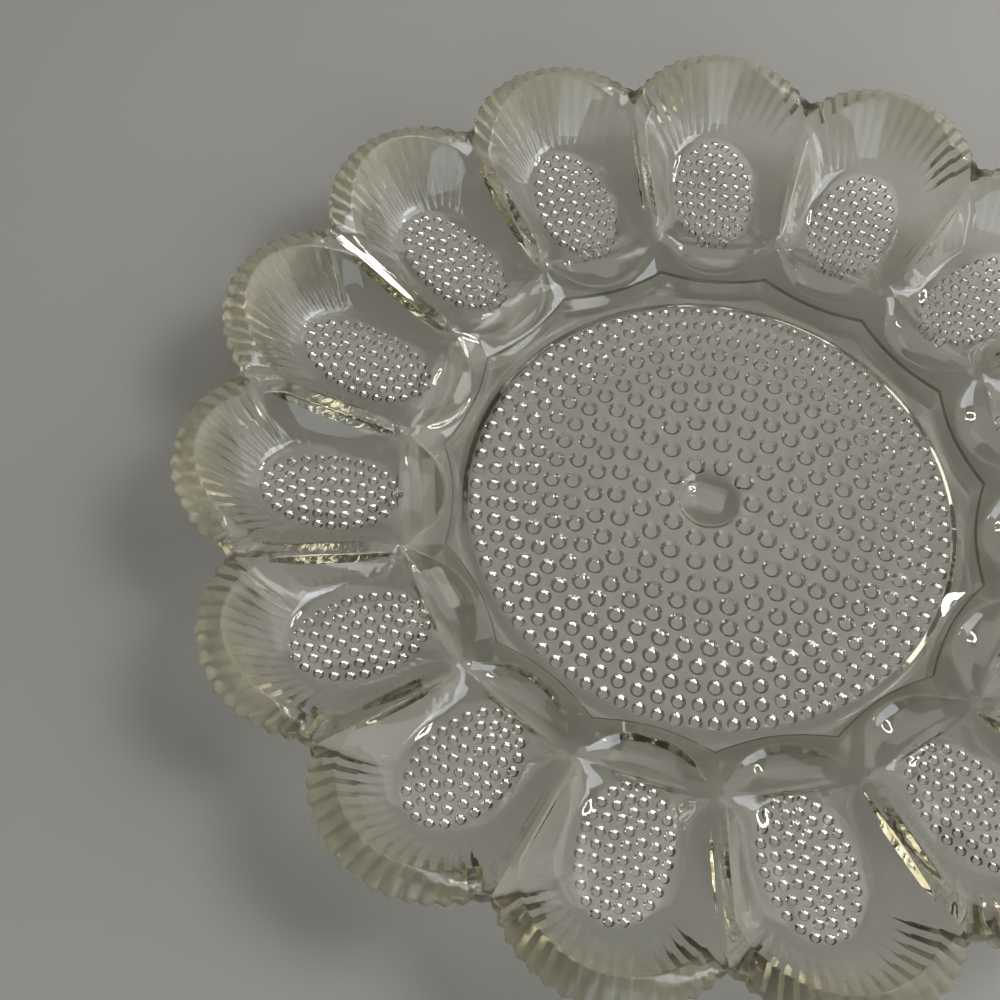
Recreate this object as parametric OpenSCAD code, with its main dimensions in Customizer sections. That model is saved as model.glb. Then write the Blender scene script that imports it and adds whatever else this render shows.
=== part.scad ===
// Deviled egg platter in clear pressed glass: a ring of egg-shaped wells with a scalloped,
// fluted wall and hobnailed floors, round a flat centre plate with hobnails underneath.
// Origin: centre of the plane that the platter rests on. +Z is up, +Y runs through well 01.

/* [Platter] */
// Number of egg wells round the platter
well_count = 15; // [14:1:16]
// Radius to the tips of the scalloped rim
tip_r = 142.5; // [138:0.5:148]
// Radius to the notches between the scallops
notch_r = 128.5; // [125:0.5:131]
// Radius of the straight line where a well's floor meets the collar
chord_x = 84.8; // [83:0.2:87]

/* [Centre plate] */
// Thickness of the plate
plate_t = 4.4; // [3.6:0.1:5]
// Diameter of the boss under the middle, at its root
knob_d = 17.2; // [15.2:0.2:17.6]
// Diameter of the boss at its end
knob_end = 14.4; // [12:0.2:14.8]
// Height of the dome on the boss's end
knob_dome = 0.8; // [0.3:0.1:0.9]

/* [Foot ring] */
// Inner radius of the foot ring's flat
foot_in = 68.4; // [68.4:0.1:70]
// Outer radius of the foot ring's flat
foot_out = 70.6; // [70.2:0.1:72]
// Width of the slope inside the foot ring
foot_bevel = 1.8; // [1:0.1:1.8]

/* [Centre hobnails] */
// Rings of hobnails under the plate
hob_rings = 10; // [6:1:10]
// Radius of the outermost ring
hob_outer_r = 64.6; // [60:0.2:64.6]
// Radius of the innermost ring
hob_inner_r = 12.2; // [12:0.2:16]
// Diameter of a hobnail near the middle
hob_d_inner = 5.6; // [3.6:0.1:5.8]
// Diameter of a hobnail in the outermost ring
hob_d_outer = 3.8; // [2.6:0.1:3.8]
// Height of a hobnail
hob_h = 1.5; // [1:0.1:1.8]
// Gap between the hobnails and the resting plane
hob_lift = 0.3; // [0.2:0.1:0.6]
// Share of a hobnail's diameter that its flat end keeps
hob_taper = 0.62; // [0.5:0.02:0.8]
// Share of a ring's length that its hobnails cover
hob_fill = 0.78; // [0.5:0.02:0.82]
// How much the outer rings crowd together
hob_crowding = 0.2; // [0:0.05:0.4]

/* [Collar] */
// Height of the collar's sharp inner edge
edge_z = 11; // [10:0.1:12]
// Radius of that edge in line with a well
edge_r_well = 70.6; // [70:0.1:72]
// Radius of that edge in line with a divider
edge_r_divider = 74.4; // [73:0.1:76]
// Width of the slope from the plate up to that edge
toe_w = 1.6; // [0.8:0.1:3]
// Depth of a well's lens-shaped facet
lens_depth = 11.7; // [9:0.1:12]
// Height of the facet at the middle of its straight side
chord_z = 13; // [12.4:0.1:13.6]

/* [Egg wells] */
// Radius of the circle through the middles of the hobnail patches
well_r = 103.5; // [101:0.5:106]
// Height that the floor levels out to at its inner end
floor_z = 11.4; // [11:0.1:11.8]
// Radius at which the floor turns up
floor_x = 98; // [96:0.5:101]
// Slope of the floor's outer end
floor_slope = 0.28; // [0.22:0.01:0.32]
// How gently the floor turns up
floor_turn = 12; // [8:0.5:16]
// Radius of curvature of the floor across the well
cross_bend = 70; // [60:1:120]
// Glass thickness under the middle of the floor
floor_t = 4; // [3:0.1:5]
// How gently the floor turns into the wall, as a share of the wall's width
wall_fillet = 0.25; // [0.1:0.05:0.5]
// Rise of the rim's crest above the dividers
crest_rise = 2.4; // [1:0.1:4]
// Width of the sloping rim, crest to outer edge
rim_w = 7; // [5:0.2:9]
// Height of the rim's outer edge at a scallop's tip
rim_z = 33; // [31:0.1:34]
// Height of the band at the rim's outer edge
rim_band = 2.4; // [1.4:0.1:4]

/* [Dividers] */
// Height of the dividers at their inner ends
divider_z = 15.2; // [14.4:0.1:16.4]
// Slope of the dividers at their inner ends
divider_slope = 0.3; // [0.24:0.01:0.36]
// Radius of curvature of the dividers along their length
divider_bend = 278; // [220:1:400]
// Width of the land on top of a divider
divider_w = 3.8; // [2.6:0.1:4.4]
// Glass thickness under a divider
divider_t = 7; // [5:0.1:8]

/* [Flutes] */
// Flutes round the scalloped end of a well
ribs_tip = 16; // [10:1:18]
// Flutes along each side of a well
ribs_side = 11; // [6:1:12]
// Depth of the flutes round the scalloped end
rib_h_tip = 0.8; // [0.4:0.1:1.4]
// Depth of the flutes along the sides
rib_h_side = 0.5; // [0.2:0.1:1]
// Depth of the notches that the flutes leave in the rim's edge
serration = 0.9; // [0.2:0.1:1.2]

/* [Well hobnails] */
// Half length of the floor that the hobnails lie under
patch_a = 18.8; // [17:0.1:18.8]
// Half width of that floor
patch_b = 13.8; // [12.4:0.1:15]
// Diameter of a well's hobnail
stud_d = 3; // [2:0.1:3]
// Height of a well's hobnail
stud_h = 1.1; // [0.8:0.1:1.3]
// Half length of the outermost ring of hobnails
stud_a = 17.4; // [17.1:0.1:17.4]
// Half width of that ring
stud_b = 10.6; // [10.6:0.1:11.2]
// Distance from one ring to the next
stud_step = 3.45; // [3.4:0.05:3.45]
// Spacing of the hobnails along a ring
stud_pitch = 3.75; // [3.7:0.05:3.9]

/* [Hidden] */
glass = [0.78, 0.80, 0.74, 0.5];
alpha = 180 / well_count;
numbers = [for (i = [1:well_count]) str(i < 10 ? "0" : "", i)];
well_names = [for (n = numbers) str("egg_well_", n)];
stud_names = [for (n = numbers) str("well_hobnails_", n)];

// The plate lies as high as its hobnails need
plate_under = hob_h + hob_lift;
plate_z = plate_under + plate_t;
// The scallop is an arc through a tip and the notches on either side of it
scallop_c = (tip_r ^ 2 - notch_r ^ 2) / (2 * (tip_r - notch_r * cos(alpha)));
scallop_r = tip_r - scallop_c;
corner_y = chord_x * tan(alpha);
corner_r = chord_x / cos(alpha);
phi_notch = atan2(notch_r * sin(alpha), notch_r * cos(alpha) - well_r);
phi_inner = atan2(corner_y, chord_x - well_r);
mouth_r = scallop_r - rim_w;
phi_tangent = atan2(mouth_r * cos(alpha), scallop_c - mouth_r * sin(alpha) - well_r);
// The lens is a segment of a circle, as long as the chord less the land of a divider
lens_half = corner_y - divider_w / 2;
lens_arc_r = (lens_half ^ 2 + lens_depth ^ 2) / (2 * lens_depth);
lens_c = chord_x + lens_arc_r - lens_depth;
// A well's mouth stops short of the chord, and its floor stops short of its mouth
mouth_share = 0.97;
wall_min = 0.8;
basin_share = 0.5;
fillet_share = 0.25;
chord_steps = 6;
stud_rings = 3;

// Heights along a well: its floor, the bed underneath, and the land on top of a divider
function floor_at(x, y) = floor_z + floor_slope / 2 * (x - floor_x + norm([x - floor_x, floor_turn]))
    + y ^ 2 / (2 * cross_bend);
function bed_at(x) = floor_at(x, 0) - floor_t;
function floor_lean(x) = atan(floor_slope / 2 * (1 + (x - floor_x) / norm([x - floor_x, floor_turn])));
function land_at(r) = divider_z + divider_slope * (r - corner_r) + (r - corner_r) ^ 2 / (2 * divider_bend);
function chord_top(y) = chord_z + (land_at(corner_r) - chord_z) * abs(y / corner_y) ^ 3;
function chord_under(y) = let (middle = bed_at(chord_x))
    middle + (land_at(corner_r) - divider_t - middle) * (y / corner_y) ^ 2;
function wall_rise(share) = (norm([share, wall_fillet]) - wall_fillet)
    / (norm([1, wall_fillet]) - wall_fillet);
// The flank runs straight up from the foot ring to the wells, past the plate's two faces
plate_r = foot_out + (chord_x - foot_out) * plate_z / bed_at(chord_x);
flank_r = foot_out + (chord_x - foot_out) * plate_under / bed_at(chord_x);

// Rays from the middle of a well, two to a flute, with phi 0 pointing outwards
rays = concat(
    [for (i = [0:2 * ribs_tip - 1]) phi_notch * (i / ribs_tip - 1)],
    [for (i = [0:2 * ribs_side - 1]) phi_notch + (phi_inner - phi_notch) * i / (2 * ribs_side)],
    [for (i = [0:chord_steps - 1])
        atan2(chord_x * tan(alpha * (1 - 2 * i / chord_steps)), chord_x - well_r)],
    [for (i = [0:2 * ribs_side - 1]) -phi_inner + (phi_inner - phi_notch) * i / (2 * ribs_side)]);
ray_count = len(rays);
first_chord = 2 * (ribs_tip + ribs_side);
function at_chord(i) = i >= first_chord && i <= first_chord + chord_steps;
function at_tip(i) = i <= 2 * ribs_tip;
function rib(i) = i % 2 == 1 && !at_chord(i) ? (at_tip(i) ? rib_h_tip : rib_h_side) : 0;
function tip_share(i) = at_tip(i) ? 1 - (rays[i] / phi_notch) ^ 2 : 0;

// Distances from the middle of a well along a ray
function to_arc(phi, r) = let (e = well_r - scallop_c) sqrt(r ^ 2 - (e * sin(phi)) ^ 2) - e * cos(phi);
function to_side(phi, inset) = (well_r * sin(alpha) - inset) / sin(abs(phi) - alpha);
function to_chord(phi) = (chord_x - well_r) / cos(phi);
function reach(i) = at_tip(i) ? to_arc(rays[i], scallop_r)
    : at_chord(i) ? to_chord(rays[i]) : to_side(rays[i], 0);
function mouth(i) = let (phi = abs(rays[i])) min(
    phi < phi_tangent ? to_arc(phi, mouth_r) : tip_r,
    phi > 2 * alpha ? to_side(phi, divider_w / 2) : tip_r,
    at_chord(i) ? mouth_share * to_chord(phi) : tip_r);
function margin(i) = min(mouth(i) - wall_min,
    patch_a * patch_b / norm([patch_b * cos(rays[i]), patch_a * sin(rays[i])]));
function spot(i, d) = [well_r + d * cos(rays[i]), d * sin(rays[i])];

// Heights at the mouth of a well and at the edge of its sector
function mouth_z(i) = let (p = spot(i, mouth(i)))
    at_chord(i) ? chord_top(p.y) : land_at(norm(p)) + crest_rise * tip_share(i);
function edge_top(i) = let (p = spot(i, reach(i)), notch_z = land_at(notch_r))
    at_tip(i) ? notch_z + (rim_z - notch_z) * tip_share(i)
    : at_chord(i) ? chord_top(p.y) : land_at(norm(p));
function edge_under(i) = let (p = spot(i, reach(i)))
    at_tip(i) ? edge_top(i) - rim_band - (divider_t - rim_band) * (1 - tip_share(i)) ^ 2 - rib(i)
    : at_chord(i) ? chord_under(p.y) : land_at(norm(p)) - divider_t - rib(i);

// Points of a well's smooth floor, its wall, its edge, and the margin of the patch underneath
function basin(i, share) = let (p = spot(i, share * margin(i))) [p.x, p.y, floor_at(p.x, p.y)];
function wall(i, share) = let (
        p = spot(i, margin(i) + share * (mouth(i) - margin(i))),
        m = spot(i, mouth(i)))
    [p.x, p.y, floor_at(p.x, p.y) + (mouth_z(i) - floor_at(m.x, m.y)) * wall_rise(share)];
function edge_spot(i) = let (valley = at_tip(i) && i % 2 == 0 && i > 0 && i < 2 * ribs_tip)
    spot(i, reach(i) - (valley ? serration : 0));
function patch_spot(i) = let (p = spot(i, margin(i))) [p.x, p.y, bed_at(p.x)];

// Faces between two rings of points, with the second ring as fine as the first or twice as fine
function band(a, b, n) = [for (i = [0:n - 1], k = [0, 1]) let (j = (i + 1) % n)
    k == 0 ? [a + i, b + i, a + j] : [a + j, b + i, b + j]];
function stitch(a, b, n) = [for (i = [0:n - 1], k = [0:2]) let (j = (i + 1) % n, m = b + 2 * i)
    [[a + i, m, m + 1], [a + i, m + 1, a + j], [a + j, m + 1, b + 2 * j]][k]];
// Faces across a closed ring, from each point to its mirror image about the ring's point at tip
function strips(a, tip, n) = [for (k = [0:n / 2 - 1], t = [0, 1])
    let (left = a + (tip + k) % n, right = a + (tip - k + n) % n,
        next_left = a + (tip + k + 1) % n, next_right = a + (tip - k - 1 + n) % n)
    if (t == 0 ? k > 0 : k < n / 2 - 1)
        t == 0 ? [left, right, next_left] : [right, next_right, next_left]];
function fan(c, a, n) = [for (i = [0:n - 1]) [c, a + i, a + (i + 1) % n]];
function flip(faces) = [for (f = faces) [f[2], f[1], f[0]]];

module sector(i) {
    rotate(90 - i * 2 * alpha) children();
}

module well_body() {
    n = ray_count;
    h = n / 2;
    coarse = [0:2:n - 1];
    fine = [0:n - 1];
    points = concat(
        [[well_r, 0, floor_at(well_r, 0)]],
        [for (i = coarse) basin(i, basin_share)],
        [for (share = [0, fillet_share], i = coarse) wall(i, share)],
        [for (i = fine) wall(i, 1)],
        [for (i = fine) [edge_spot(i).x, edge_spot(i).y, edge_top(i)]],
        [for (i = fine) [edge_spot(i).x, edge_spot(i).y, edge_under(i)]],
        [for (i = fine) patch_spot(i)]);
    bowl = 1;
    rim = bowl + 3 * h;
    faces = concat(
        fan(0, bowl, h),
        band(bowl, bowl + h, h),
        band(bowl + h, bowl + 2 * h, h),
        stitch(bowl + 2 * h, rim, h),
        [for (ring = [0:2]) each band(rim + ring * n, rim + (ring + 1) * n, n)],
        strips(rim + 3 * n, ribs_tip, n));
    polyhedron(points, flip(faces));
}

module egg_well(i) {
    color(glass) sector(i) well_body();
}

module centre_plate() {
    color(glass) rotate_extrude($fn = 180)
        polygon([[0, plate_under], [flank_r, plate_under], [plate_r, plate_z], [0, plate_z]]);
}

module foot_ring() {
    color(glass) rotate_extrude($fn = 180)
        polygon([[foot_in - foot_bevel, plate_under], [foot_in, 0], [foot_out, 0], [flank_r, plate_under]]);
}

// A broad tapered boss under the middle of the plate, with a domed end
module centre_knob() {
    wall_h = hob_h - knob_dome;
    dome_r = (knob_end ^ 2 / 4 + knob_dome ^ 2) / (2 * knob_dome);
    color(glass) translate([0, 0, plate_under]) mirror([0, 0, 1]) {
        rotate_extrude($fn = 60) {
            polygon([[0, 0], [knob_d / 2, 0], [knob_end / 2, wall_h], [0, wall_h]]);
            intersection() {
                translate([0, hob_h - dome_r]) circle(dome_r, $fn = 240);
                translate([0, wall_h]) square([knob_end, knob_dome]);
            }
        }
    }
}

// A hobnail: a tapered peg with a flat end
module peg(d, h) {
    cylinder(h, d / 2, d / 2 * hob_taper, $fn = 24);
}

// Rings of pegs under the plate, closer and smaller towards the edge
module centre_hobnails() {
    color(glass) for (k = [0:hob_rings - 1]) {
        share = k / (hob_rings - 1);
        r = hob_inner_r + (hob_outer_r - hob_inner_r) * (share + hob_crowding * share * (1 - share));
        d = hob_d_inner + (hob_d_outer - hob_d_inner) * share ^ 2;
        count = floor(2 * PI * r * hob_fill / d);
        for (j = [0:count - 1]) rotate(360 * (j + k / 2) / count)
            translate([r, 0, plate_under]) mirror([0, 0, 1]) peg(d, hob_h);
    }
}

// One slice of the collar: toe, sharp edge, start of the lens, chord, and back underneath
function collar_slice(theta) = let (
        edge = edge_r_well + (edge_r_divider - edge_r_well) * (theta / alpha) ^ 2,
        chord = chord_x / cos(theta),
        y = chord_x * tan(theta),
        rise = (land_at(corner_r) - edge_z) / (corner_r - edge),
        inside = lens_arc_r ^ 2 - (lens_c * sin(theta)) ^ 2,
        lens = inside > 0 ? lens_c * cos(theta) - sqrt(inside) : chord,
        start = min(lens, chord - divider_w / 2))
    [[edge - toe_w, plate_z], [edge, edge_z], [start, edge_z + rise * (start - edge)],
        [chord, chord_top(y)], [chord, chord_under(y)], [plate_r, plate_z]];

module collar() {
    slices = well_count * chord_steps;
    step = 2 * alpha / chord_steps;
    points = [for (s = [0:slices - 1])
        let (turn = s * step, theta = (s % chord_steps) * step - alpha, slice = collar_slice(theta))
        for (p = slice) [p.x * cos(turn), p.x * sin(turn), p.y]];
    size = len(collar_slice(0));
    faces = [for (s = [0:slices - 1], k = [0:size - 1], t = [0, 1])
        let (a = s * size, b = (s + 1) % slices * size, m = (k + 1) % size)
        t == 0 ? [a + k, a + m, b + k] : [b + k, a + m, b + m]];
    color(glass) rotate(90 - alpha) polyhedron(points, flip(faces));
}

// One peg, seated square on the underside of a well's floor
module stud(x, y) {
    translate([well_r + x, y, bed_at(well_r + x)])
        rotate([0, 180 - floor_lean(well_r + x), 0]) peg(stud_d, stud_h);
}

// Oval rings of pegs, evenly spaced along each ring, round a short middle row
module well_hobnails(i) {
    row = floor(2 * (stud_a - stud_rings * stud_step) / stud_pitch) + 1;
    color(glass) sector(i) {
        for (k = [0:stud_rings - 1]) {
            a = stud_a - k * stud_step;
            b = stud_b - k * stud_step;
            count = 2 * floor(PI * norm([a, b]) / sqrt(2) / stud_pitch);
            evening = (a ^ 2 - b ^ 2) / (a ^ 2 + b ^ 2) * 45 / PI;
            for (j = [0:count - 1]) {
                even = 360 * (j + k / 2) / count;
                turn = even + evening * sin(2 * even);
                stud(a * cos(turn), b * sin(turn));
            }
        }
        for (j = [0:row - 1]) stud((j - (row - 1) / 2) * stud_pitch, 0);
    }
}

centre_plate();
foot_ring();
centre_hobnails();
centre_knob();
collar();
for (i = [0:well_count - 1]) {
    egg_well(i);
    well_hobnails(i);
}
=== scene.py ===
"""A deviled egg platter in clear pressed glass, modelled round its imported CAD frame."""
import math

import bmesh
import bpy
import numpy as np
from mathutils import Matrix, Vector


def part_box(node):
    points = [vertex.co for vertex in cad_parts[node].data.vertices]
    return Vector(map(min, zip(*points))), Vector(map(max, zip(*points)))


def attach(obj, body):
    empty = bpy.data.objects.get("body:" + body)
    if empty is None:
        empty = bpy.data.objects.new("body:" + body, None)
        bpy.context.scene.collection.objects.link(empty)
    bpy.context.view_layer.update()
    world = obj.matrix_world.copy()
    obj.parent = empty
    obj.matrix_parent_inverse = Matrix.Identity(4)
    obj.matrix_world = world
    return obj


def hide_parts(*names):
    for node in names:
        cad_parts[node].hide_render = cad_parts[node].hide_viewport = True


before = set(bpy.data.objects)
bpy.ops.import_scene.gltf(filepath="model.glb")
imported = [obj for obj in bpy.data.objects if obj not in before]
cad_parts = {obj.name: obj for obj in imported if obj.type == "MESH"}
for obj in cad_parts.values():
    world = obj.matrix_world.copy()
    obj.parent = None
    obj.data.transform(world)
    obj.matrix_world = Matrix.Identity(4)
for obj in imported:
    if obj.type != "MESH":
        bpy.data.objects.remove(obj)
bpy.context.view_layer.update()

# The camera
# A phone held above the platter's near left side, tipped down at about sixty degrees,
# close enough that the platter runs out of the picture on the right.
camera_place = Vector((-0.0527, -0.1826, 0.3242))
camera_target = Vector((-0.0576, -0.0062, 0.0062))
camera_roll = math.radians(2.98)
camera_lens = 47.98
camera_sensor = 36.0

camera_data = bpy.data.cameras.new("photo_view")
camera_data.lens = camera_lens
camera_data.sensor_width = camera_sensor
camera_data.clip_start = 0.01
camera = bpy.data.objects.new("photo_view", camera_data)
facing = (camera_target - camera_place).to_track_quat("-Z", "Y").to_matrix()
camera.matrix_world = (Matrix.Translation(camera_place) @ facing.to_4x4()
                       @ Matrix.Rotation(camera_roll, 4, "Z"))
bpy.context.scene.collection.objects.link(camera)
bpy.context.scene.camera = camera

# The egg wells
# Fifteen egg-shaped hollows pressed side by side in one ring of glass. A well is smooth inside,
# fluted underneath, and its outer end is a scallop whose lip the flutes leave finely notched.
MM = 0.001
plate_low, plate_high = (np.array(corner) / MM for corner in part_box("centre_plate"))
well_count = sum(name.startswith("egg_well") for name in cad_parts)
half_turn = np.pi / well_count
tip_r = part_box("egg_well_01")[1][1] / MM
rim_z = 33.0
notch_r = 128.5
chord_x = 84.8
well_r = 103.5
floor_z = 11.4
floor_x = 98.0
floor_slope = 0.28
floor_turn = 12.0
cross_bend = 70.0
floor_t = 4.0
crest_rise = 2.4
rim_w = 7.0
rim_crown = 0.5
rim_band = 2.4
divider_z = 15.2
divider_slope = 0.3
divider_bend = 278.0
divider_w = 3.8
divider_t = 7.0
chord_z = 13.0
patch_a = 18.8
patch_b = 13.8
wall_fillet = 0.25
ribs_tip = 16
ribs_side = 11
rib_h_tip = 0.8
rib_h_side = 0.5
serration = 0.9
rim_round = 0.9
edge_round = 0.45
tip_steps_per_rib = 4
side_steps_per_rib = 2
chord_cells = 12

scallop_c = (tip_r ** 2 - notch_r ** 2) / (2 * (tip_r - notch_r * np.cos(half_turn)))
scallop_r = tip_r - scallop_c
mouth_r = scallop_r - rim_w
corner_y = chord_x * np.tan(half_turn)
corner_r = chord_x / np.cos(half_turn)
phi_notch = np.arctan2(notch_r * np.sin(half_turn), notch_r * np.cos(half_turn) - well_r)
phi_inner = np.arctan2(corner_y, chord_x - well_r)
phi_tangent = np.arctan2(mouth_r * np.cos(half_turn), scallop_c - mouth_r * np.sin(half_turn) - well_r)


def floor_at(x, y):
    """Height of a well's floor: level at its inner end, turning about floor_x into a slope along one
    branch of a hyperbola, and a parabola across it."""
    along = floor_slope / 2 * (x - floor_x + np.hypot(x - floor_x, floor_turn))
    return floor_z + along + y ** 2 / (2 * cross_bend)


def bed_at(x):
    """Height of the underside of a well's floor: the floor's own line along it, straight across."""
    return floor_at(x, 0) - floor_t


def land_at(r):
    """Height of the dividers: a rising curve from their inner ends to the notches."""
    return divider_z + divider_slope * (r - corner_r) + (r - corner_r) ** 2 / (2 * divider_bend)


def chord_top(y):
    """Height of the line where a well meets the collar, rising to the dividers as a cubic."""
    return chord_z + (land_at(corner_r) - chord_z) * np.abs(y / corner_y) ** 3


def chord_under(y):
    """Height of the same line underneath, rising to the dividers as a parabola."""
    middle = bed_at(chord_x)
    return middle + (land_at(corner_r) - divider_t - middle) * (y / corner_y) ** 2


def to_arc(phi, r):
    """Distance from a well's middle to a circle of radius r about the scallop's centre."""
    offset = well_r - scallop_c
    return np.sqrt(np.maximum(r ** 2 - (offset * np.sin(phi)) ** 2, 0)) - offset * np.cos(phi)


def to_side(phi, inset):
    """Distance from a well's middle to the line along a divider, moved in by inset."""
    return (well_r * np.sin(half_turn) - inset) / np.sin(np.maximum(np.abs(phi) - half_turn, 0.05))


# Rays from a well's middle: round the scallop, down one side, along the chord, up the other side
tip_steps = tip_steps_per_rib * ribs_tip
side_steps = side_steps_per_rib * ribs_side
tip_rays = np.linspace(-phi_notch, phi_notch, tip_steps + 1)
side_rays = np.linspace(phi_notch, phi_inner, side_steps + 1)
chord_turns = np.linspace(half_turn, -half_turn, chord_cells + 1)
chord_rays = np.arctan2(chord_x * np.tan(chord_turns), chord_x - well_r)
phi = np.concatenate([tip_rays[:-1], side_rays[:-1], chord_rays[:-1], -side_rays[::-1][:-1]])
ray = np.arange(len(phi))
first_chord = tip_steps + side_steps
at_tip = ray <= tip_steps
at_chord = (ray >= first_chord) & (ray <= first_chord + chord_cells)

# Along each ray: the flute it lies on, how far up the scallop it is, and where the well's lines cross it
tip_wave = (1 - np.cos(2 * np.pi * np.arange(tip_steps) / tip_steps_per_rib)) / 2
side_wave = (1 - np.cos(2 * np.pi * np.arange(side_steps) / side_steps_per_rib)) / 2
rib = np.concatenate([tip_wave, side_wave, np.zeros(chord_cells), side_wave])
rib_h = np.where(at_tip, rib_h_tip, rib_h_side)
tip_share = np.where(at_tip, 1 - (phi / phi_notch) ** 2, 0)
inside_tip = np.clip(tip_share / 0.2, 0, 1)
lip_inset = inside_tip * serration * (1 - rib)
to_chord = (chord_x - well_r) / np.minimum(np.cos(phi), -0.05)
reach = np.where(at_tip, to_arc(phi, scallop_r), np.where(at_chord, to_chord, to_side(phi, 0)))
mouth = np.minimum(
    np.where(np.abs(phi) < phi_tangent, to_arc(phi, mouth_r), tip_r),
    np.where(np.abs(phi) > 2 * half_turn, to_side(phi, divider_w / 2), tip_r))
mouth = np.minimum(mouth, np.where(at_chord, 0.97 * to_chord, tip_r))
ellipse = patch_a * patch_b / np.hypot(patch_b * np.cos(phi), patch_a * np.sin(phi))
margin = np.minimum(ellipse, mouth - 0.8)


def spot(distance):
    """Radial and tangential place of a point at this distance along each ray."""
    return well_r + distance * np.cos(phi), distance * np.sin(phi)


def points(x, y, z):
    """Stacks three arrays of coordinates into one array of points."""
    return np.stack(np.broadcast_arrays(x, y, z), axis=-1)


def wall_rise(share):
    """Share of a wall's height at this share of its width: a hyperbola, level at the foot."""
    return (np.hypot(share, wall_fillet) - wall_fillet) / (np.hypot(1, wall_fillet) - wall_fillet)


mouth_x, mouth_y = spot(mouth)
reach_x, reach_y = spot(reach)
reach_land = land_at(np.hypot(reach_x, reach_y))
notch_z = land_at(notch_r)
mouth_land = land_at(np.hypot(mouth_x, mouth_y))
mouth_z = np.where(at_chord, chord_top(mouth_y), mouth_land + crest_rise * tip_share)
edge_top = np.where(at_tip, notch_z + (rim_z - notch_z) * tip_share,
                    np.where(at_chord, chord_top(reach_y), reach_land))
edge_under = np.where(at_tip, edge_top - rim_band - (divider_t - rim_band) * (1 - tip_share) ** 2,
                      np.where(at_chord, chord_under(reach_y), reach_land - divider_t))


def basin(share):
    """Smooth floor of a well, from its middle, share 0, to the margin of its patch, share 1."""
    x, y = spot(share * margin)
    return points(x, y, floor_at(x, y))


def bed(share):
    """Underside of a well's floor, from its middle, share 0, to the margin of its patch, share 1."""
    x, y = spot(share * margin)
    return points(x, y, bed_at(x))


def wall(share):
    """Smooth inner wall, from the patch's margin, share 0, to the well's mouth, share 1."""
    x, y = spot(margin + share * (mouth - margin))
    return points(x, y, floor_at(x, y) + (mouth_z - floor_at(mouth_x, mouth_y)) * wall_rise(share))


def under(share):
    """Fluted underside, from the patch's margin, share 0, to the sector's edge, share 1."""
    outer = reach - lip_inset - rim_round * inside_tip
    x, y = spot(margin + share * (outer - margin))
    rise = edge_under - bed_at(reach_x)
    tip_swell = np.clip((share - 0.15) / 0.45, 0, 1)
    side_swell = np.sin(np.pi * np.clip(share / 0.7, 0, 1))
    swell = np.where(at_tip, tip_swell, side_swell)
    depth = rib_h * rib * swell
    return points(x, y, bed_at(x) + rise * wall_rise(share) - depth)


def lip(drop):
    """Rounded outer edge of the rim: a half ellipse from its top, drop 0, to its underside, drop 1."""
    bulge = 1 - np.sqrt(np.maximum(1 - (2 * drop - 1) ** 2, 0))
    x, y = spot(reach - lip_inset - rim_round * inside_tip * bulge)
    return points(x, y, edge_top + (under(1)[:, 2] - edge_top) * drop)


def step_towards(start, end, distance):
    """Points this far from start on the way to end, and never past half way."""
    way = end - start
    length = np.maximum(np.linalg.norm(way, axis=-1, keepdims=True), 1e-6)
    return start + way / length * np.minimum(distance, length / 2)


def soften(rows, distance):
    """Rows with each inner corner blunted: one row before it, the corner pulled in, one row after."""
    made = [rows[0]]
    for before, corner, after in zip(rows[:-2], rows[1:-1], rows[2:]):
        one = step_towards(corner, before, distance)
        two = step_towards(corner, after, distance)
        made += [one, (one + 2 * corner + two) / 4, two]
    return np.array(made + [rows[-1]])


lip_middle = (wall(1) + lip(0)) / 2 + points(0, 0, rim_crown * inside_tip)
bowl_rows = np.array([basin(share) for share in (0.33, 0.67, 0.9)]
                     + [wall(share) for share in (0.0, 0.1, 0.22, 0.38, 0.58)])[:, ::2]
crest_rows = soften([wall(0.78), wall(1), lip_middle, lip(0)], edge_round)
lip_rows = np.array([lip(drop) for drop in (0, 0.1, 0.3, 0.5, 0.7, 0.9, 1)])[:, :tip_steps + 1]
under_rows = np.array([under(share) for share in (1, 0.85, 0.65, 0.45, 0.28, 0.14, 0.06, 0)])
patch_rows = np.array([bed(share) for share in (0.9, 0.45)])[:, ::4]
bowl_middle = np.array([[well_r, 0, floor_at(well_r, 0)]])
patch_middle = np.array([[well_r, 0, bed_at(well_r)]])


def band(rows, closed):
    """Triangles of a grid of points: two to each cell between neighbouring rows and columns."""
    if closed:
        rows = np.concatenate([rows, rows[:, :1]], axis=1)
    a, b, c, d = rows[:-1, :-1], rows[:-1, 1:], rows[1:, 1:], rows[1:, :-1]
    return np.concatenate([np.stack([a, b, c], -2), np.stack([a, c, d], -2)]).reshape(-1, 3, 3)


def stitch(coarse, fine):
    """Triangles between a ring of points and one that has several points to each of its own."""
    ratio = len(fine) // len(coarse)
    after = np.roll(coarse, -1, axis=0)
    between = np.stack([np.roll(fine, -k, axis=0)[::ratio] for k in range(ratio + 1)])
    half = ratio // 2
    fans = [np.stack([coarse if k < half else after, between[k + 1], between[k]], 1) for k in range(ratio)]
    return np.concatenate(fans + [np.stack([coarse, after, between[half]], 1)])


def fan(middle, ring):
    """Triangles from one middle point to a closed ring of points."""
    return np.stack([np.broadcast_to(middle, ring.shape), ring, np.roll(ring, -1, axis=0)], 1)


def ring_of(triangles):
    """Copies of one sector's triangles, turned about the platter's axis, with well 01 at +Y."""
    turns = np.pi / 2 - 2 * half_turn * np.arange(well_count)
    x, y, z = triangles[..., 0], triangles[..., 1], triangles[..., 2]
    turned = [points(x * np.cos(turn) - y * np.sin(turn), x * np.sin(turn) + y * np.cos(turn), z)
              for turn in turns]
    return np.concatenate(turned)


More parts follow.
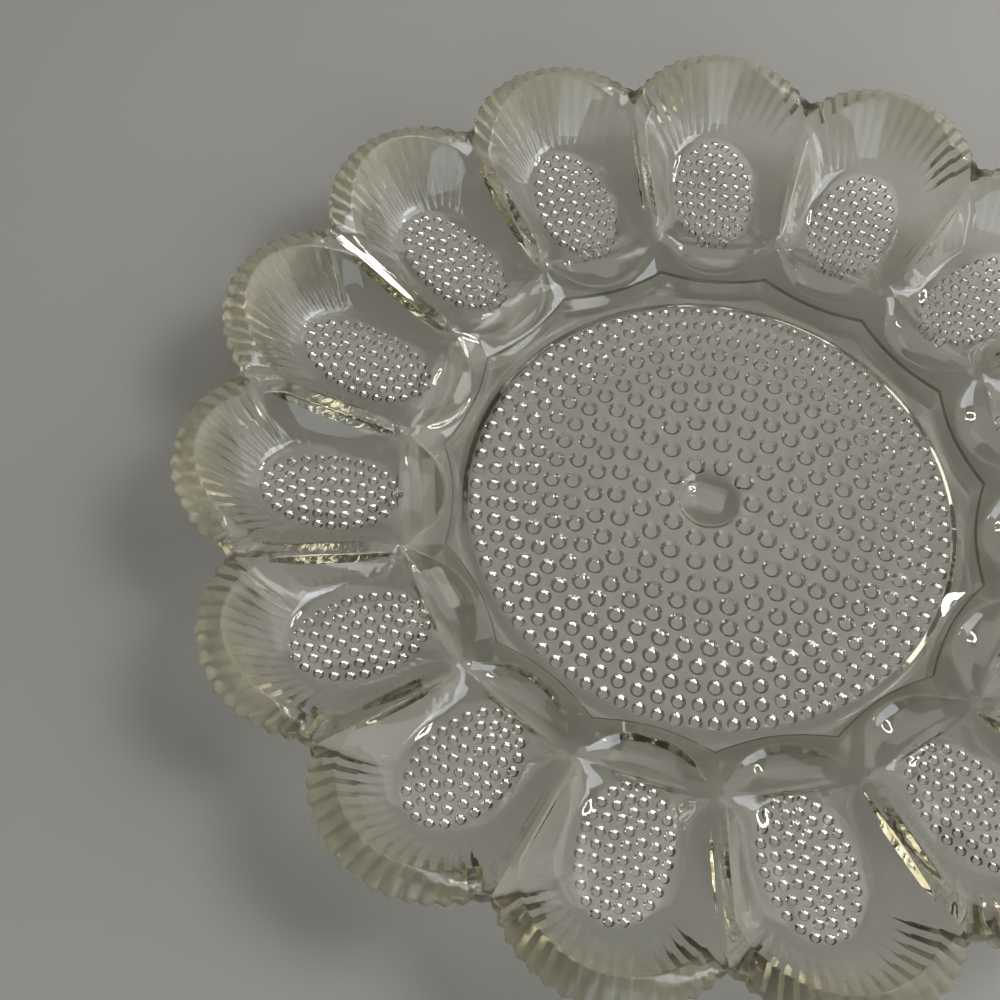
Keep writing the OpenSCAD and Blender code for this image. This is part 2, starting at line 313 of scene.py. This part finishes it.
well_faces = ring_of(np.concatenate([
    fan(bowl_middle, bowl_rows[0]), band(bowl_rows, True), stitch(bowl_rows[-1], crest_rows[0]),
    band(crest_rows, True), band(lip_rows, False), band(under_rows, True),
    stitch(patch_rows[0], under_rows[-1]), band(patch_rows, True), fan(patch_middle, patch_rows[-1])]))

# The collar and the foot
# The ring of glass between the wells and the centre plate. It climbs from the plate to a sharp
# scalloped edge, with a hollow lens-shaped facet in front of every well. Underneath, a straight
# flank runs down to the narrow foot that the platter stands on.
plate_r = plate_high[0]
plate_z = plate_high[2]
plate_under = plate_low[2]
edge_z = 11.0
edge_r_well = 70.6
edge_r_divider = 74.4
toe_w = 0.9
lens_depth = 11.7
lens_dip = 1.0
collar_round = 0.25
dish_margin = 1.5
plate_margin = 1.0
foot_in = 68.4
foot_out = 70.6
foot_bevel = 1.8
lens_half = corner_y - divider_w / 2
lens_arc_r = (lens_half ** 2 + lens_depth ** 2) / (2 * lens_depth)
lens_c = chord_x + lens_arc_r - lens_depth

theta = chord_turns
edge_r = edge_r_well + (edge_r_divider - edge_r_well) * (theta / half_turn) ** 2
chord_r = chord_x / np.cos(theta)
chord_y = chord_x * np.tan(theta)
collar_rise = (land_at(corner_r) - edge_z) / (corner_r - edge_r)
lens_inside = lens_arc_r ** 2 - (lens_c * np.sin(theta)) ** 2
lens_r = np.where(lens_inside > 0, lens_c * np.cos(theta) - np.sqrt(np.maximum(lens_inside, 0)), chord_r)
lens_r = np.minimum(lens_r, chord_r - divider_w / 2)
lens_z = edge_z + collar_rise * (lens_r - edge_r)
lens_share = np.clip(1 - (chord_y / lens_half) ** 2, 0, 1)


def slice_row(r, z):
    """One line of the collar across a sector, from each slice's radius and height."""
    return points(r * np.cos(theta), r * np.sin(theta), z)


def facet(share):
    """A line across the lens facet, which is hollowed as a parabola from its arc, 0, to its chord, 1."""
    hollow = lens_dip * lens_share * 4 * share * (1 - share)
    level = lens_z + (chord_top(chord_y) - lens_z) * share
    return slice_row(lens_r + (chord_r - lens_r) * share, level - hollow)


collar_top = soften([
    slice_row(edge_r - toe_w - dish_margin, plate_z), slice_row(edge_r - toe_w, plate_z),
    slice_row(edge_r, edge_z), facet(0), facet(0.2), facet(0.5), facet(0.8), facet(1)], collar_round)
collar_under = soften([
    slice_row(chord_r, chord_under(chord_y)), slice_row(plate_r, plate_z), slice_row(foot_out, 0),
    slice_row(foot_in, 0), slice_row(foot_in - foot_bevel, plate_under),
    slice_row(foot_in - foot_bevel - plate_margin, plate_under)], edge_round)
collar_faces = ring_of(np.concatenate([band(collar_top, False), band(collar_under, False)]))

# The centre plate and its boss
# A flat round plate, smooth on top. A broad low boss with a domed end stands under its middle,
# and the top is a little dished over it.
boss_r = 8.6
boss_h = 1.5
boss_crown = 0.7
dimple_h = 1.2
slices = well_count * chord_cells


def around(r, z, count):
    """A circle of points about the platter's axis, starting at the first slice of a sector."""
    turn = np.pi / 2 + half_turn - 2 * np.pi * np.arange(count) / count
    return points(r * np.cos(turn), r * np.sin(turn), z)


dish_edge = around(np.tile(edge_r[:-1] - toe_w - dish_margin, well_count), plate_z, slices)
plate_edge = around(foot_in - foot_bevel - plate_margin, plate_under, slices)
boss_columns = 60
plate_ring_r = 61.5
plate_ring = around(plate_ring_r, plate_under, boss_columns)
boss_flat_r = 9.1
boss_flat = around(boss_flat_r, plate_under, boss_columns)
dimple_flat = around(boss_flat_r, plate_z, boss_columns)


def boss_drop(share):
    """Drop of the boss below the plate: a parabola about its middle, turning up steeply at its rim."""
    return boss_h * (1 - boss_crown * share ** 2 - (1 - boss_crown) * share ** 10)


boss_rows = np.array([
    around(boss_r * share, plate_under - boss_drop(share), boss_columns)
    for share in (1, 0.98, 0.95, 0.91, 0.86, 0.79, 0.7, 0.58, 0.42, 0.22)])
dimple_rows = np.array([
    around(boss_r * share, plate_z - dimple_h * (1 - share ** 2), boss_columns)
    for share in (1, 0.97, 0.88, 0.74, 0.55, 0.3)])
plate_faces = np.concatenate([
    stitch(dimple_flat, dish_edge), band(np.array([dimple_flat, *dimple_rows]), True),
    fan([[0, 0, plate_z - dimple_h]], dimple_rows[-1]),
    stitch(plate_ring, plate_edge), band(np.array([plate_ring, boss_flat, *boss_rows]), True),
    fan([[0, 0, plate_under - boss_h]], boss_rows[-1])])

# The hobnails
# Flat-ended tapered pegs that stand out under the plate in rings, and under each well's floor
# in oval rings. They are part of the same pressing and show through the smooth upper face.
hob_rings = 10
hob_outer_r = 64.6
hob_inner_r = 12.2
hob_d_inner = 5.6
hob_d_outer = 3.8
hob_h = 1.5
hob_fill = 0.78
hob_crowding = 0.2
stud_d = 3.0
stud_h = 1.1
stud_a = 17.4
stud_b = 10.6
stud_step = 3.45
stud_pitch = 3.75
stud_rings = 3
hob_taper = 0.62
hob_root = 0.25
hob_columns = 12
stud_columns = 9


def pegs(places, outward, diameter, height, columns):
    """Closed pegs: a cone about each peg's outward axis, from a root sunk in the glass to a flat end."""
    outward = outward / np.linalg.norm(outward, axis=1, keepdims=True)
    side = np.cross(outward, [0.0, 1.0, 0.0])
    side /= np.linalg.norm(side, axis=1, keepdims=True)
    other = np.cross(outward, side)
    turn = 2 * np.pi * np.arange(columns) / columns
    wheel = side[:, None] * np.cos(turn)[:, None] + other[:, None] * np.sin(turn)[:, None]
    root = places - outward * hob_root
    end = places + outward * height
    root_r = diameter / 2 * (1 + (1 - hob_taper) * hob_root / height)
    a = root[:, None] + wheel * root_r[:, None, None]
    d = end[:, None] + wheel * (diameter / 2 * hob_taper)[:, None, None]
    b = np.roll(a, -1, axis=1)
    c = np.roll(d, -1, axis=1)
    bottom = np.broadcast_to(root[:, None], a.shape)
    top = np.broadcast_to(end[:, None], d.shape)
    faces = [(a, b, c), (a, c, d), (bottom, b, a), (top, d, c)]
    return np.concatenate([np.stack(corners, -2).reshape(-1, 3, 3) for corners in faces])


centre_places = []
centre_sizes = []
for ring in range(hob_rings):
    share = ring / (hob_rings - 1)
    ring_r = hob_inner_r + (hob_outer_r - hob_inner_r) * (share + hob_crowding * share * (1 - share))
    ring_d = hob_d_inner + (hob_d_outer - hob_d_inner) * share ** 2
    count = math.floor(2 * math.pi * ring_r * hob_fill / ring_d)
    turn = 2 * np.pi * (np.arange(count) + ring / 2) / count
    centre_places.append(points(ring_r * np.cos(turn), ring_r * np.sin(turn), plate_under))
    centre_sizes.append(np.full(count, ring_d))
centre_places = np.concatenate(centre_places)
centre_sizes = np.concatenate(centre_sizes)
down = np.broadcast_to([0.0, 0.0, -1.0], centre_places.shape)
centre_hobs = pegs(centre_places, down, centre_sizes, hob_h, hob_columns)

stud_x = []
stud_y = []
for ring in range(stud_rings):
    ring_a = stud_a - ring * stud_step
    ring_b = stud_b - ring * stud_step
    count = 2 * math.floor(math.pi * math.hypot(ring_a, ring_b) / math.sqrt(2) / stud_pitch)
    even = 2 * np.pi * (np.arange(count) + ring / 2) / count
    turn = even + (ring_a ** 2 - ring_b ** 2) / (ring_a ** 2 + ring_b ** 2) / 4 * np.sin(2 * even)
    stud_x.append(ring_a * np.cos(turn))
    stud_y.append(ring_b * np.sin(turn))
count = math.floor(2 * (stud_a - stud_rings * stud_step) / stud_pitch) + 1
stud_x = well_r + np.concatenate(stud_x + [(np.arange(count) - (count - 1) / 2) * stud_pitch])
stud_y = np.concatenate(stud_y + [np.zeros(count)])
stud_lean = (stud_x - floor_x) / floor_turn
stud_places = points(stud_x, stud_y, bed_at(stud_x))
stud_out = points(floor_slope / 2 * (1 + stud_lean / np.hypot(1, stud_lean)), 0, -1)
stud_faces = ring_of(pegs(stud_places, stud_out, np.full(len(stud_x), stud_d), stud_h, stud_columns))

# The pressing
# Plate, collar, wells and hobnails leave the mould as one piece of glass, so their faces are
# welded into one closed skin and the hobnails are joined to it.


def skin(name, triangles):
    """A mesh of these triangles in metres, with equal corners welded and collapsed faces left out."""
    corners = np.round(triangles.reshape(-1, 3), 4)
    places, index = np.unique(corners, axis=0, return_inverse=True)
    index = index.reshape(-1, 3)
    kept = (index[:, 0] != index[:, 1]) & (index[:, 1] != index[:, 2]) & (index[:, 2] != index[:, 0])
    mesh = bpy.data.meshes.new(name)
    mesh.from_pydata((places * MM).tolist(), [], index[kept].tolist())
    mesh.validate()
    made = bpy.data.objects.new(name, mesh)
    bpy.context.scene.collection.objects.link(made)
    return made


def face_outwards(piece):
    """Turns a closed mesh's faces outwards."""
    shell = bmesh.new()
    shell.from_mesh(piece.data)
    bmesh.ops.recalc_face_normals(shell, faces=shell.faces)
    shell.to_mesh(piece.data)
    shell.free()


platter = skin("pressed_glass_platter", np.concatenate([well_faces, collar_faces, plate_faces]))
hobs = skin("hobnails", np.concatenate([centre_hobs, stud_faces]))
face_outwards(platter)
face_outwards(hobs)
join = platter.modifiers.new("hobnails", "BOOLEAN")
join.operation = "UNION"
join.solver = "MANIFOLD"
join.object = hobs
joined = platter.evaluated_get(bpy.context.evaluated_depsgraph_get())
pressed = bpy.data.meshes.new_from_object(joined)
platter.modifiers.clear()
platter.data = pressed
bpy.data.objects.remove(hobs)
pressed.shade_smooth()
pressed.set_sharp_from_angle(angle=math.radians(48))

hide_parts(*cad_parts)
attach(platter, "root")


class Wire:
    """A material's socket; arithmetic on it adds Math nodes, and node() adds any other."""

    def __init__(self, tree, socket=None):
        self.tree = tree
        self.socket = socket

    def node(self, kind, settings, inputs, output=0):
        """Adds a node: its settings first, then the value or link of each named socket."""
        made = self.tree.nodes.new(kind)
        for name, value in settings.items():
            setattr(made, name, value)
        for name, value in inputs.items():
            if isinstance(value, Wire):
                self.tree.links.new(value.socket, made.inputs[name])
            else:
                made.inputs[name].default_value = value
        return Wire(self.tree, made.outputs[output] if made.outputs else None)

    def math(self, operation, first, second):
        return self.node("ShaderNodeMath", {"operation": operation}, {0: first, 1: second})

    def __add__(self, other):
        return self.math("ADD", self, other)

    __radd__ = __add__

    def __mul__(self, other):
        return self.math("MULTIPLY", self, other)

    __rmul__ = __mul__

    def __sub__(self, other):
        return self.math("SUBTRACT", self, other)

    def __rsub__(self, other):
        return self.math("SUBTRACT", other, self)


def new_material(name):
    """An empty node material and the wire that its nodes hang from."""
    made = bpy.data.materials.new(name)
    made.use_nodes = True
    made.node_tree.nodes.clear()
    return made, Wire(made.node_tree)


# Clear glass, faintly olive where thick. The lip is worn rough and hazy, the dish ripples a
# little, and a fine dark line of painted shade follows the collar's edge.
glass, wire = new_material("clear_pressed_glass")
place = wire.node("ShaderNodeTexCoord", {}, {}, "Object")
apart = wire.node("ShaderNodeSeparateXYZ", {}, {0: place}, "Z")
across = wire.node("ShaderNodeSeparateXYZ", {}, {0: place}, "X")
along = wire.node("ShaderNodeSeparateXYZ", {}, {0: place}, "Y")
radius = wire.node("ShaderNodeVectorMath", {"operation": "LENGTH"}, {0: wire.node(
    "ShaderNodeVectorMath", {"operation": "MULTIPLY"}, {0: place, 1: (1, 1, 0)})}, "Value")
on_dish = wire.math("COMPARE", apart, plate_z * MM)
on_dish.socket.node.inputs[2].default_value = 0.00005
flow = wire.node("ShaderNodeTexNoise", {}, {"Vector": place, "Scale": 110.0, "Detail": 0.0}, "Fac")
smear = wire.node("ShaderNodeTexNoise", {}, {"Vector": place, "Scale": 35.0, "Detail": 4.0}, "Fac")
worn = wire.node("ShaderNodeMapRange", {}, {
    "Value": radius, "From Min": 0.127, "From Max": 0.136, "To Max": 0.22}, "Result")
# Painted shade: a mask for a thin dark line along the collar's scalloped edge, from each point's distance
# to that edge.
turn = wire.math("PINGPONG", wire.math("ARCTAN2", across, along), half_turn) * (1 / half_turn)
off_edge = radius - (edge_r_well + turn * turn * (edge_r_divider - edge_r_well)) * MM
line = wire.node("ShaderNodeMapRange", {}, {
    "Value": wire.math("ABSOLUTE", off_edge, 0.0), "From Min": 0.00025, "From Max": 0.00055,
    "To Min": 1.0, "To Max": 0.0}, "Result") * wire.math("GREATER_THAN", apart, (edge_z - 0.7) * MM)
shade = wire.node("ShaderNodeMix", {"data_type": "RGBA"}, {
    "Factor": worn * 4.5, 6: (0.985, 0.985, 0.975, 1), 7: (0.93, 0.92, 0.80, 1)}, 2)
# Painted shade: the dark line's colour darkens the glass's base colour under that mask.
shade = wire.node("ShaderNodeMix", {"data_type": "RGBA"}, {
    "Factor": line, 6: shade, 7: (0.20, 0.19, 0.15, 1)}, 2)
ripple = wire.node("ShaderNodeBump", {}, {
    "Height": flow * (0.3 + on_dish), "Strength": 0.05, "Distance": 0.001})
surface = wire.node("ShaderNodeBsdfPrincipled", {}, {
    "Base Color": shade, "Roughness": smear * 0.04 + worn, "Normal": ripple, "IOR": 1.51,
    "Transmission Weight": 1.0})
depth = wire.node("ShaderNodeVolumeAbsorption", {}, {"Color": (0.72, 0.66, 0.35, 1), "Density": 22.0})
haze = wire.node("ShaderNodeMapRange", {}, {
    "Value": radius, "From Min": 0.126, "From Max": 0.137, "To Min": 0.035, "To Max": 0.26}, "Result")
film = wire.node("ShaderNodeBsdfDiffuse", {}, {"Color": (0.68, 0.64, 0.50, 1)})
hazed = wire.node("ShaderNodeMixShader", {}, {0: haze * (0.6 + smear * 0.8), 1: surface, 2: film})
wire.node("ShaderNodeOutputMaterial", {}, {"Surface": hazed, "Volume": depth})
pressed.materials.clear()
pressed.materials.append(glass)

# The floor
# A plain pale table top, matt, which shows through the glass. It lies a hair below the foot,
# as a foot that isn't quite flat leaves it.
floor_half = 1.5
floor_mesh = bpy.data.meshes.new("table_top")
floor_gap = 0.0003
floor_mesh.from_pydata([(-floor_half, -floor_half, -floor_gap), (floor_half, -floor_half, -floor_gap),
                        (floor_half, floor_half, -floor_gap), (-floor_half, floor_half, -floor_gap)],
                       [], [(0, 1, 2, 3)])
table = bpy.data.objects.new("table_top", floor_mesh)
bpy.context.scene.collection.objects.link(table)
paint, wire = new_material("pale_table")
place = wire.node("ShaderNodeTexCoord", {}, {}, "Object")
mottle = wire.node("ShaderNodeTexNoise", {}, {"Vector": place, "Scale": 6.0, "Detail": 3.0}, "Fac")
tone = wire.node("ShaderNodeMix", {"data_type": "RGBA"}, {
    "Factor": mottle, 6: (0.46, 0.445, 0.415, 1), 7: (0.51, 0.49, 0.455, 1)}, 2)
matt = wire.node("ShaderNodeBsdfPrincipled", {}, {"Base Color": tone, "Roughness": 0.7})
wire.node("ShaderNodeOutputMaterial", {}, {"Surface": matt})
floor_mesh.materials.append(paint)

# The light
# A room that is pale at eye level and dark overhead. A broad window and a smaller one stand on the
# right, a soft panel hangs behind, a cool lamp fills from the front, and a small ring lamp hangs
# overhead.
scene = bpy.context.scene
scene.view_settings.view_transform = "Standard"
room = bpy.data.worlds.new("dim_room")
room.use_nodes = True
scene.world = room
room.node_tree.nodes.clear()
wire = Wire(room.node_tree)
facing = wire.node("ShaderNodeTexCoord", {}, {}, "Generated")
height = wire.node("ShaderNodeSeparateXYZ", {}, {0: facing}, "Z")
overhead = wire.node("ShaderNodeMapRange", {"interpolation_type": "SMOOTHSTEP"}, {
    "Value": height, "From Min": 0.30, "From Max": 0.75}, "Result")
tone = wire.node("ShaderNodeMix", {"data_type": "RGBA"}, {
    "Factor": overhead, 6: (0.22, 0.215, 0.20, 1), 7: (0.025, 0.025, 0.025, 1)}, 2)
sky_light = wire.node("ShaderNodeBackground", {}, {"Color": tone, "Strength": 1.0})
wire.node("ShaderNodeOutputWorld", {}, {"Surface": sky_light})


def soft_lamp(name, place, target, size, power, colour):
    """A square area lamp at a place, facing a target."""
    data = bpy.data.lights.new(name, "AREA")
    data.size = size
    data.energy = power
    data.color = colour
    lamp = bpy.data.objects.new(name, data)
    facing = (Vector(target) - Vector(place)).to_track_quat("-Z", "Y")
    lamp.matrix_world = Matrix.Translation(place) @ facing.to_matrix().to_4x4()
    scene.collection.objects.link(lamp)


soft_lamp("window", (1.10, 0.35, 0.60), (0, 0, 0), 1.6, 12.0, (1.0, 0.97, 0.93))
soft_lamp("side_window", (0.81, 0.125, 1.25), (0, 0, 0), 0.55, 5.6, (0.86, 0.93, 1.0))
soft_lamp("panel", (0.21, 0.70, 1.30), (0, 0, 0), 0.66, 1.9, (1.0, 0.98, 0.95))
soft_lamp("sky", (0.15, -0.90, 0.50), (0, 0, 0), 0.6, 2.6, (0.80, 0.90, 1.0))

ring_place = Vector((0.585, 0.56, 1.28))
ring_major = 0.068
ring_minor = 0.007
ring_turns = np.linspace(0, 2 * np.pi, 49)[:-1]
tube_turns = np.linspace(0, 2 * np.pi, 9)[:-1]
ring_u, ring_v = np.meshgrid(ring_turns, tube_turns, indexing="ij")
ring_points = points((ring_major + ring_minor * np.cos(ring_v)) * np.cos(ring_u) + ring_place.x,
                     (ring_major + ring_minor * np.cos(ring_v)) * np.sin(ring_u) + ring_place.y,
                     ring_minor * np.sin(ring_v) + ring_place.z)
ring_faces = band(np.concatenate([ring_points, ring_points[:1]]), True)
ring_lamp = skin("ring_lamp", ring_faces / MM)
face_outwards(ring_lamp)
glow, wire = new_material("ring_lamp")
emission = wire.node("ShaderNodeEmission", {}, {"Color": (1.0, 0.95, 0.88, 1), "Strength": 60.0})
wire.node("ShaderNodeOutputMaterial", {}, {"Surface": emission})
ring_lamp.data.materials.append(glow)
ring_lamp.visible_diffuse = False
ring_lamp.visible_camera = False
ring_lamp.visible_shadow = False
